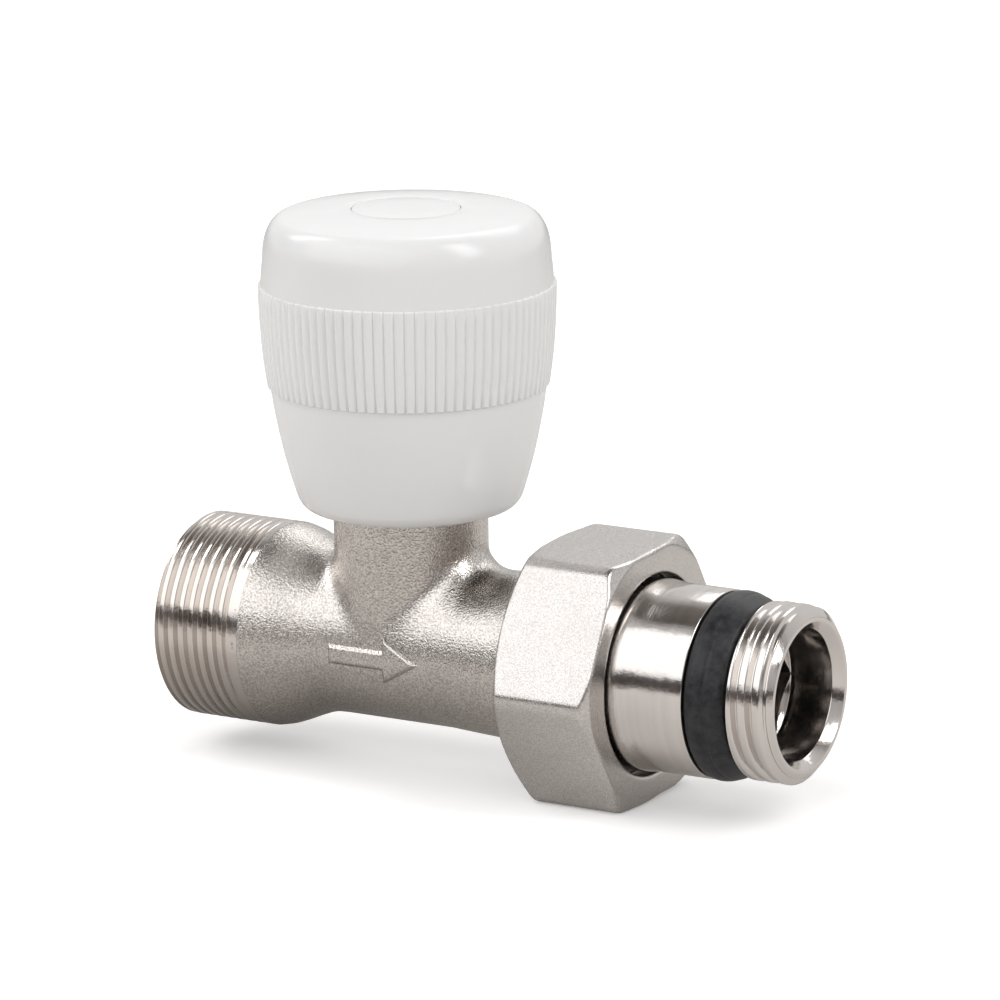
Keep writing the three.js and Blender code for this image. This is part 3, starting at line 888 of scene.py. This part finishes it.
def off_the_blend(place):
    """How far a point stands off the neck and the barrel, with a fillet between them."""
    off_neck = math.hypot(place.x, place.y) - NECK_RADIUS
    off_barrel = math.hypot(place.y, place.z) - barrel_radius(place.x)
    sideways = min(1.0, abs(place.x) / NECK_RADIUS)
    widest = OUTLET_FILLET if place.x > 0 else INLET_FILLET
    reach = LEAST_FILLET + (widest - LEAST_FILLET) * sideways ** 2
    meeting = max(0.0, 1 - abs(off_neck - off_barrel) / reach)
    return min(off_neck, off_barrel) - meeting ** 2 * reach / 4


forging = remeshed(forging, SKIN_VOXEL)
relax(forging, forging.verts[:], 2)
for _ in range(BLEND_ROUNDS):
    moved = 0
    for vert in forging.verts:
        place = vert.co
        if not (BLEND_LOW < place.z < BLEND_HIGH and abs(place.x) < BLEND_SIDE):
            continue
        off = off_the_blend(place)
        if abs(off) < CLOSE_ENOUGH:
            continue
        slope = Vector([
            (off_the_blend(place + NUDGE * side) - off) / NUDGE
            for side in (Vector((1, 0, 0)), Vector((0, 1, 0)), Vector((0, 0, 1)))
        ])
        vert.co = place - slope * (off / max(LEAST_SLOPE, slope.length_squared))
        moved += 1
    print("moved", moved, "vertices onto the blend")
relax(forging, forging.verts[:], 3)

# %% [markdown]
# Now the inside is bored, as a machinist would: the pipe socket, the chamber under the headwork,
# the seat with the low way in and the high way out, and the way out to the tail. The cutters are
# joined first, so the forging is cut only once.

# %% Bore the forging
CHAMBER_RADIUS = 7.4
SEAT_HEIGHT = 1.9
SEAT_RADIUS = 4.5
WAY_IN = (-12, 4.5, 4, -4.2)
WAY_OVER = (2, 14, 3.3, 5.3)

bores = turned("x", [
    (INLET_END - 1, 0),
    (INLET_END - 1, SOCKET_RADIUS + 0.02),
    (INLET_END + 9.0, SOCKET_RADIUS + 0.02),
    (INLET_END + 11.5, WATERWAY + 0.02),
    (-9.2, WATERWAY + 0.02, 1.0),
    (-9.2, 0),
])
chamber = turned("z", [
    (1.3, SEAT_RADIUS + 1.3),
    (1.3, CHAMBER_RADIUS, 0.3),
    (NECK_TOP - 0.8, CHAMBER_RADIUS),
    (NECK_TOP + 0.2, CHAMBER_RADIUS + 1.0),
    (NECK_TOP + 1, CHAMBER_RADIUS + 1.0),
    (NECK_TOP + 1, 0),
    (SEAT_HEIGHT, 0),
    (SEAT_HEIGHT, SEAT_RADIUS + 1.1),
])
seat_hole = turned("z", [(-4, 0), (-4, SEAT_RADIUS), (2.4, SEAT_RADIUS), (2.4, 0)], steps=64)
cross_ways = []
for start, end, radius, height in (WAY_IN, WAY_OVER):
    way = turned("x", [(start, 0), (start, radius), (end, radius), (end, 0)], steps=64)
    bmesh.ops.translate(way, verts=way.verts, vec=(0, 0, height))
    cross_ways.append(way)
way_out = turned("x", [
    (9.8, 0),
    (9.8, WATERWAY + 0.02, 1.0),
    (SPIGOT_START + 3, WATERWAY + 0.02),
    (SPIGOT_START + 3, 0),
])
for cutter in (chamber, seat_hole, *cross_ways, way_out):
    bores = combine(bores, cutter, "UNION")
forging = combine(forging, bores, "DIFFERENCE")
finish_piece(
    "body_casting", forging, body_nickel, "valve_body", "cast_nickel", "valve_body", edge_degrees=40
)

# %% [markdown]
# A plain raised arrow on the front of the barrel shows the way of the water. It is small and its
# sloping sides matter, so it is a piece of its own with a much finer skin. It is modelled flat: a
# plate, and on it a step that is inset as it rises, which gives the sides their draft. The finished
# plate is then wrapped round the barrel: its width becomes an arc and its height a radius.

# %% Raise the flow arrow
ARROW_RELIEF = 0.42
ARROW_DRAFT = 0.42
ARROW_SINK = 0.8
ARROW_MIDDLE = -0.1
ARROW_VOXEL = 0.09
ARROW = ((-5.8, -1.2), (1.4, -1.2), (1.4, -2.9), (6.4, 0.0), (1.4, 2.9), (1.4, 1.2), (-5.8, 1.2))

arrow = bmesh.new()
plate = arrow.faces.new([arrow.verts.new((x, s, -ARROW_SINK)) for x, s in ARROW])
top = push_out(arrow, [plate], (0, 0, ARROW_SINK))
bmesh.ops.inset_region(
    arrow, faces=top, thickness=ARROW_DRAFT, depth=ARROW_RELIEF, use_even_offset=True
)
arrow = remeshed(arrow, ARROW_VOXEL)
relax(arrow, arrow.verts[:], 4)
for vert in arrow.verts:
    along, across, up = vert.co
    radius = barrel_radius(along) + up
    turn = (ARROW_MIDDLE + across) / BARREL_RADIUS
    vert.co = (along, -radius * math.cos(turn), radius * math.sin(turn))
finish_piece("flow_arrow", arrow, body_nickel, "valve_body", "cast_nickel", edge_degrees=60)

# %% [markdown]
# ## Union thread
#
# The right end of the body carries the male thread that the union nut pulls on. It is hidden
# while the nut is tight and shows when the body is drawn off the tail, so it is a real thread,
# with the pitch that the joint turns by. Its mouth is coned to fit the nose of the tail.

# %% Cut the union thread
couplings = {c["joint"]: c for c in frame["record"]["behaviour"]["couplings"]}
turn_per_metre = abs(couplings["union_nut_turn"]["ratio"])
UNION_PITCH = FULL_TURN / turn_per_metre / MILLIMETRE
print("union pitch in mm:", round(UNION_PITCH, 3))
UNION_CREST = 12.5
UNION_ROOT = 11.5
SPIGOT_END = along_flow(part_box("valve_body")[1].x)

union_screw = screw_rod(UNION_PITCH, UNION_CREST, UNION_ROOT, SPIGOT_START - 1, SPIGOT_END + 1)
union_blank = turned("x", [
    (SPIGOT_START, WATERWAY),
    (SPIGOT_START, 10.6),
    (SPIGOT_START + 0.8, UNION_CREST + 0.1),
    (SPIGOT_END - 0.7, UNION_CREST + 0.1),
    (SPIGOT_END, UNION_ROOT, 0.1),
    (SPIGOT_END, 9.9, 0.1),
    (SPIGOT_END - 3.4, 7.0),
    (SPIGOT_END - 4.2, WATERWAY, 0.2),
], steps=144)
union_thread_bm = combine(union_screw, union_blank, "INTERSECT")
finish_piece(
    "union_thread", union_thread_bm, thread_nickel, "valve_body", "turned_nickel", edge_degrees=50
)

# %% [markdown]
# ## Union nut
#
# The nut is a forged hexagon whose ends are turned to a cone, which is what draws the curved
# line across each corner. A circle of six vertices with its corners bevelled is extruded to a
# bar; the bar is intersected with a turned solid and then bored. The forging is tumbled, so all
# its edges are soft: the same fine skin and a little smoothing round them evenly.

# %% Shape the nut
NUT_START = along_flow(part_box("union_nut")[0].x)
NUT_END = along_flow(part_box("union_nut")[1].x)
ACROSS_FLATS = 29.0
NUT_EDGE_SETBACK = 1.26
NUT_REST_TURN = 2.5
NUT_BACK_RADIUS = 14.4
NUT_FRONT_RADIUS = 14.9
NUT_CORNER = 17.2
NUT_HOLE = 11.64
NUT_WEB = 2.7
NUT_BORE = 13.2
NUT_CREST = UNION_CREST + 0.25
NUT_ROOT = UNION_ROOT + 0.25

chamfer_slope = math.tan(math.radians(30))
back_depth = (NUT_CORNER - NUT_BACK_RADIUS) * chamfer_slope
front_depth = (NUT_CORNER - NUT_FRONT_RADIUS) * chamfer_slope
nut = bmesh.new()
bmesh.ops.create_circle(
    nut, cap_ends=True, segments=6, radius=ACROSS_FLATS / 2 / math.cos(math.pi / 6)
)
bmesh.ops.bevel(
    nut,
    geom=nut.verts[:],
    offset=NUT_EDGE_SETBACK,
    offset_type="OFFSET",
    segments=8,
    profile=0.5,
    affect="VERTICES",
    material=-1,
)
bmesh.ops.rotate(nut, verts=nut.verts, cent=(0, 0, 0), matrix=Matrix.Rotation(math.pi / 2, 3, "Y"))
bmesh.ops.rotate(
    nut,
    verts=nut.verts,
    cent=(0, 0, 0),
    matrix=Matrix.Rotation(math.radians(NUT_REST_TURN), 3, "X"),
)
bmesh.ops.translate(nut, verts=nut.verts, vec=(NUT_START, 0, 0))
push_out(nut, nut.faces[:], (NUT_END - NUT_START, 0, 0))
turned_ends = turned("x", [
    (NUT_START, 0),
    (NUT_START, NUT_BACK_RADIUS),
    (NUT_START + back_depth, NUT_CORNER),
    (NUT_END - front_depth, NUT_CORNER),
    (NUT_END, NUT_FRONT_RADIUS),
    (NUT_END, 0),
])
nut_bore = turned("x", [
    (NUT_START - 1, 0),
    (NUT_START - 1, NUT_BORE),
    (NUT_END - NUT_WEB, NUT_BORE),
    (NUT_END - NUT_WEB, NUT_HOLE),
    (NUT_END + 1, NUT_HOLE),
    (NUT_END + 1, 0),
])
nut = combine(combine(nut, turned_ends, "INTERSECT"), nut_bore, "DIFFERENCE")
print("nut before its skin:", len(nut.faces), "faces")

# %% Skin the nut
NUT_VOXEL = 0.22
nut = remeshed(nut, NUT_VOXEL)
relax(nut, nut.verts[:], 4)
finish_piece(
    "nut_forging", nut, nut_nickel, "union_nut", "cast_nickel", "union_nut", edge_degrees=60
)

# %% Cut the nut's thread
nut_thread_ring = turned("x", [
    (NUT_START + 0.15, 11.0),
    (NUT_START + 0.15, NUT_BORE + 0.25),
    (NUT_END - NUT_WEB + 0.1, NUT_BORE + 0.25),
    (NUT_END - NUT_WEB + 0.1, 11.0),
], steps=96)
nut_screw = screw_rod(UNION_PITCH, NUT_CREST, NUT_ROOT, NUT_START - 1, NUT_END)
nut_mouth = turned("x", [
    (NUT_START - 1, 0),
    (NUT_START - 1, NUT_BORE + 0.9),
    (NUT_START + 1.2, UNION_ROOT + 0.2),
    (NUT_START + 1.2, 0),
], steps=96)
nut_relief = turned("x", [
    (NUT_END - NUT_WEB - 2.6, 0),
    (NUT_END - NUT_WEB - 2.6, UNION_CREST + 0.3),
    (NUT_END, UNION_CREST + 0.3),
    (NUT_END, 0),
], steps=96)
for cutter in (nut_screw, nut_mouth, nut_relief):
    nut_thread_ring = combine(nut_thread_ring, cutter, "DIFFERENCE")
finish_piece(
    "nut_thread", nut_thread_ring, thread_nickel, "union_nut", "turned_nickel", edge_degrees=50
)

# %% [markdown]
# ## Tail
#
# The tail is a plain turned tube: a coned nose and a collar inside the nut, a bright barrel, a
# groove for the seal, and inside it a hexagon for the key that screws it into the radiator.
# Small bevels on the outline catch the light as the lathe's edges do.

# %% Turn the tail
TAIL_END = along_flow(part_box("tailpiece")[1].x)
TAIL_START = along_flow(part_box("tailpiece")[0].x)
TAIL_RADIUS = 10.8
COLLAR_RADIUS = 12.3
GROOVE_START = 41.35
GROOVE_END = 46.1
GROOVE_RADIUS = 8.6
TAIL_BORE = 7.45
KEY_START = TAIL_END - 13.5
KEY_END = TAIL_END - 6.5
KEY_CORNER = 6.5 / math.cos(math.pi / 6)

tail = turned("x", [
    (TAIL_START, WATERWAY, 0.15),
    (TAIL_START, 7.2, 0.15),
    (TAIL_START + 2.7, 9.5, 0.3),
    (27.3, 9.5),
    (27.3, COLLAR_RADIUS, 0.35),
    (29.3, COLLAR_RADIUS, 0.2),
    (29.3, 11.1, 0.2),
    (32.6, 11.1, 0.4),
    (34.2, TAIL_RADIUS, 0.6),
    (GROOVE_START, TAIL_RADIUS, 0.16),
    (GROOVE_START, GROOVE_RADIUS),
    (GROOVE_END - 0.6, GROOVE_RADIUS),
    (GROOVE_END + 0.8, GROOVE_RADIUS),
    (GROOVE_END + 0.8, TAIL_BORE + 0.02),
    (KEY_END, TAIL_BORE + 0.02, 0.1),
    (KEY_END, 7.2),
    (KEY_END - 0.5, WATERWAY),
], steps=160)
key = bmesh.new()
bmesh.ops.create_cone(
    key,
    cap_ends=True,
    segments=6,
    radius1=KEY_CORNER,
    radius2=KEY_CORNER,
    depth=KEY_END + 0.3 - KEY_START,
)
bmesh.ops.rotate(key, verts=key.verts, cent=(0, 0, 0), matrix=Matrix.Rotation(math.pi / 2, 3, "Y"))
bmesh.ops.translate(key, verts=key.verts, vec=((KEY_START + KEY_END + 0.3) / 2, 0, 0))
tail = combine(tail, key, "DIFFERENCE")
finish_piece(
    "tail_tube", tail, turned_nickel, "tailpiece", "turned_nickel", "tailpiece", edge_degrees=32
)

# %% [markdown]
# The tail's own thread is the half-inch one that goes into the radiator. It is cut like the pipe
# thread, from a blank with a chamfer outside and a polished bevel inside its mouth.

# %% Cut the tail thread
TAIL_PITCH = INCH / 14
TAIL_CREST = 10.2
TAIL_ROOT = 9.35

tail_screw = screw_rod(TAIL_PITCH, TAIL_CREST, TAIL_ROOT, GROOVE_END - 1, TAIL_END + 1, steps=128)
tail_blank = turned("x", [
    (GROOVE_END, TAIL_BORE),
    (GROOVE_END, TAIL_ROOT + 0.1),
    (GROOVE_END + 0.7, TAIL_CREST + 0.1),
    (TAIL_END - 1.15, TAIL_CREST + 0.1),
    (TAIL_END, 8.95, 0.08),
    (TAIL_END, 8.45, 0.08),
    (TAIL_END - 1.1, TAIL_BORE, 0.1),
], steps=160)
tail_thread_bm = combine(tail_screw, tail_blank, "INTERSECT")
finish_piece(
    "tail_thread", tail_thread_bm, turned_nickel, "tailpiece", "turned_nickel", edge_degrees=50
)

# %% [markdown]
# ## Seal
#
# The black ring makes the tail tight without hemp or tape. It is moulded with a fat shoulder, a
# fine ridge and a lip that slopes down to the thread. Its outline is a chain of gentle corners,
# rounded by the bevel, and spun.

# %% Mould the seal
seal = turned("x", [
    (GROOVE_START + 0.05, GROOVE_RADIUS + 0.02),
    (GROOVE_START + 0.05, 10.30, 0.25),
    (GROOVE_START + 0.45, 10.72, 0.2),
    (GROOVE_START + 1.25, 10.88, 0.35),
    (GROOVE_START + 2.15, 10.74, 0.3),
    (GROOVE_START + 2.60, 10.46, 0.12),
    (GROOVE_START + 2.80, 10.50, 0.08),
    (GROOVE_START + 3.05, 10.38, 0.1),
    (GROOVE_START + 3.80, 9.98, 0.3),
    (GROOVE_START + 4.45, 9.62, 0.25),
    (GROOVE_START + 4.62, 9.3, 0.1),
    (GROOVE_START + 4.62, GROOVE_RADIUS + 0.02),
], steps=144)
finish_piece(
    "seal_ring", seal, black_rubber, "tailpiece", "black_rubber", "tailpiece_seal", edge_degrees=50
)

# %% [markdown]
# ## Handwheel
#
# The wheel is a moulded barrel with ninety fine ribs round its grip. Modelling ninety ribs one
# by one would be folly: a slice of one rib is enough. The outline is spun through four degrees,
# the vertices of the grip are pushed out into one rounded rib, and then spin copies the slice
# ninety times. Merging the doubles closes the ring.

# %% Draw the wheel's outline
RIBS = 90
RIB_DEPTH = 0.3
BAND_BOTTOM, BAND_TOP = 30.5, 42.4
WHEEL_BOTTOM = (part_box("handwheel")[0].z - spindle_place.z) / MILLIMETRE
RECESS_RADIUS = 6.3

wheel_side = [
    (WHEEL_BOTTOM, 10.75, 0.15),
    (WHEEL_BOTTOM, 11.45, 0.3),
    (WHEEL_BOTTOM + 0.28, 12.15, 0.3),
    (WHEEL_BOTTOM + 1.0, 12.82, 0.4),
    (18.2, 13.17),
    (19.6, 13.60),
    (21.0, 14.00),
    (22.45, 14.38),
    (23.9, 14.71),
    (25.3, 15.01),
    (26.7, 15.28),
    (28.1, 15.53),
    (29.5, 15.74),
    (BAND_BOTTOM - 0.12, 15.87),
    (BAND_BOTTOM, 15.89),
    (BAND_BOTTOM + 0.12, 15.91),
    (32.3, 16.15),
    (34.0, 16.37),
    (35.6, 16.51),
    (37.2, 16.62),
    (39.0, 16.72),
    (40.8, 16.78),
    (BAND_TOP - 0.12, 16.80),
    (BAND_TOP, 16.80),
    (BAND_TOP + 0.12, 16.79),
    (43.6, 16.72),
    (45.0, 16.58),
]
rim_curve = [
    (45.9 + 4.45 * math.sin(turn), 13.95 + 2.54 * math.cos(turn))
    for turn in (math.radians(9 * step) for step in range(1, 11))
]
crown = [(50.62, 12.0), (50.80, 10.0), (50.93, 8.0), (50.98, RECESS_RADIUS, 0.07)]
wheel_inside = [
    (43.4, RECESS_RADIUS, 0.2),
    (43.4, 2.2),
    (41.4, 2.2),
    (41.4, 3.06),
    (32.8, 3.06, 0.1),
    (32.8, 6.0, 0.3),
    (41.4, 6.0),
    (41.4, 8.3, 0.2),
    (48.3, 8.3, 0.3),
    (48.3, 12.6, 0.6),
    (45.0, 14.6, 0.5),
    (31.0, 14.1),
    (25.0, 13.0),
    (20.0, 11.8),
]
wheel_outline = wheel_side + rim_curve + crown + wheel_inside
print("outline points:", len(wheel_outline))

# %% Spin one rib and copy it round
SLICE = FULL_TURN / RIBS
SLICE_STEPS = 8
GRIP_LEAST_RADIUS = 15.5
GRIP_INSET = 0.05

wheel = outline_wire("z", wheel_outline, segments=3)
bmesh.ops.spin(
    wheel,
    geom=wheel.verts[:] + wheel.edges[:],
    cent=(0, 0, 0),
    axis=AXES["z"],
    angle=SLICE,
    steps=SLICE_STEPS,
)
bmesh.ops.remove_doubles(wheel, verts=wheel.verts, dist=SAME_PLACE)
for vert in wheel.verts:
    radius = math.hypot(vert.co.x, vert.co.y)
    on_band = BAND_BOTTOM + GRIP_INSET < vert.co.z < BAND_TOP - GRIP_INSET
    if on_band and radius > GRIP_LEAST_RADIUS:
        across = math.atan2(vert.co.y, vert.co.x) / SLICE
        rise = RIB_DEPTH * (1 - abs(2 * across - 1) ** 3)
        vert.co.xy = vert.co.xy * ((radius + rise) / radius)
bmesh.ops.spin(
    wheel,
    geom=wheel.verts[:] + wheel.edges[:] + wheel.faces[:],
    cent=(0, 0, 0),
    axis=AXES["z"],
    angle=FULL_TURN - SLICE,
    steps=RIBS - 1,
    use_duplicate=True,
)
bmesh.ops.remove_doubles(wheel, verts=wheel.verts, dist=COPY_SAME_PLACE)
bmesh.ops.recalc_face_normals(wheel, faces=wheel.faces)
finish_piece(
    "wheel_shell", wheel, wheel_white, "handwheel", "white_plastic", "handwheel", edge_degrees=38
)

# %% [markdown]
# Under the crown six thin webs tie the hub to the rim. They only show from below. One bevelled
# plate is made with the cube operator and turned round the axis five more times.

# %% Add the inner webs
WEB_SIZE = (9.2, 1.4, 12.6)
WEB_MIDDLE = (10.1, 0, 42.3)
WEBS = 6

webs = bmesh.new()
bmesh.ops.create_cube(webs, size=1.0)
bmesh.ops.scale(webs, verts=webs.verts, vec=WEB_SIZE)
bmesh.ops.bevel(
    webs,
    geom=webs.edges[:],
    offset=0.2,
    offset_type="OFFSET",
    segments=2,
    profile=0.5,
    affect="EDGES",
    material=-1,
)
bmesh.ops.translate(webs, verts=webs.verts, vec=WEB_MIDDLE)
bmesh.ops.spin(
    webs,
    geom=webs.verts[:] + webs.edges[:] + webs.faces[:],
    cent=(0, 0, 0),
    axis=AXES["z"],
    angle=FULL_TURN * (WEBS - 1) / WEBS,
    steps=WEBS - 1,
    use_duplicate=True,
)
finish_piece("wheel_webs", webs, wheel_white, "handwheel", "white_plastic")

# %% [markdown]
# A small plain cap hides the screw that holds the wheel. It sits a hair below the crown, and the
# fine gap round it is what shows.

# %% Turn the screw cap
CAP_RADIUS = RECESS_RADIUS - 0.08
CAP_TOP = (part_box("screw_cap")[1].z - spindle_place.z) / MILLIMETRE

cap = turned("z", [
    (46.9, 5.2),
    (46.9, CAP_RADIUS, 0.1),
    (CAP_TOP - 0.14, CAP_RADIUS, 0.08),
    (CAP_TOP - 0.05, 3.5),
    (CAP_TOP, 0),
    (49.6, 0),
    (49.6, 5.2, 0.3),
], steps=96)
finish_piece("cap_disc", cap, wheel_white, "handwheel", "white_plastic", "screw_cap")

# %% [markdown]
# ## Headwork
#
# The parts inside keep the frame's own shapes, which are right, and only get their finishes. A
# table of finish to parts says it all; each object's material slot is filled in turn.

# %% Dress the parts inside
INNER_FINISHES = {
    bare_brass: (
        "bonnet", "gland_nut", "spindle", "plug", "seat_disc_washer", "seat_disc_screw",
    ),
    zinc_steel: ("handwheel_screw", "lock_washer"),
    black_rubber: ("bonnet_o_ring", "gland_o_ring", "spindle_o_ring", "seat_disc"),
    ptfe_white: ("gland_packing", "thrust_washer"),
}
for material, names in INNER_FINISHES.items():
    for name in names:
        node_object = frame["nodes"][name]
        for holder in node_object.material_slots:
            holder.material = material
print("dressed", sum(len(names) for names in INNER_FINISHES.values()), "parts")

# %% Write the sizes and finish
print("CAD box   ", [round(1000 * v, 2) for v in (*cad_low, *cad_high)])
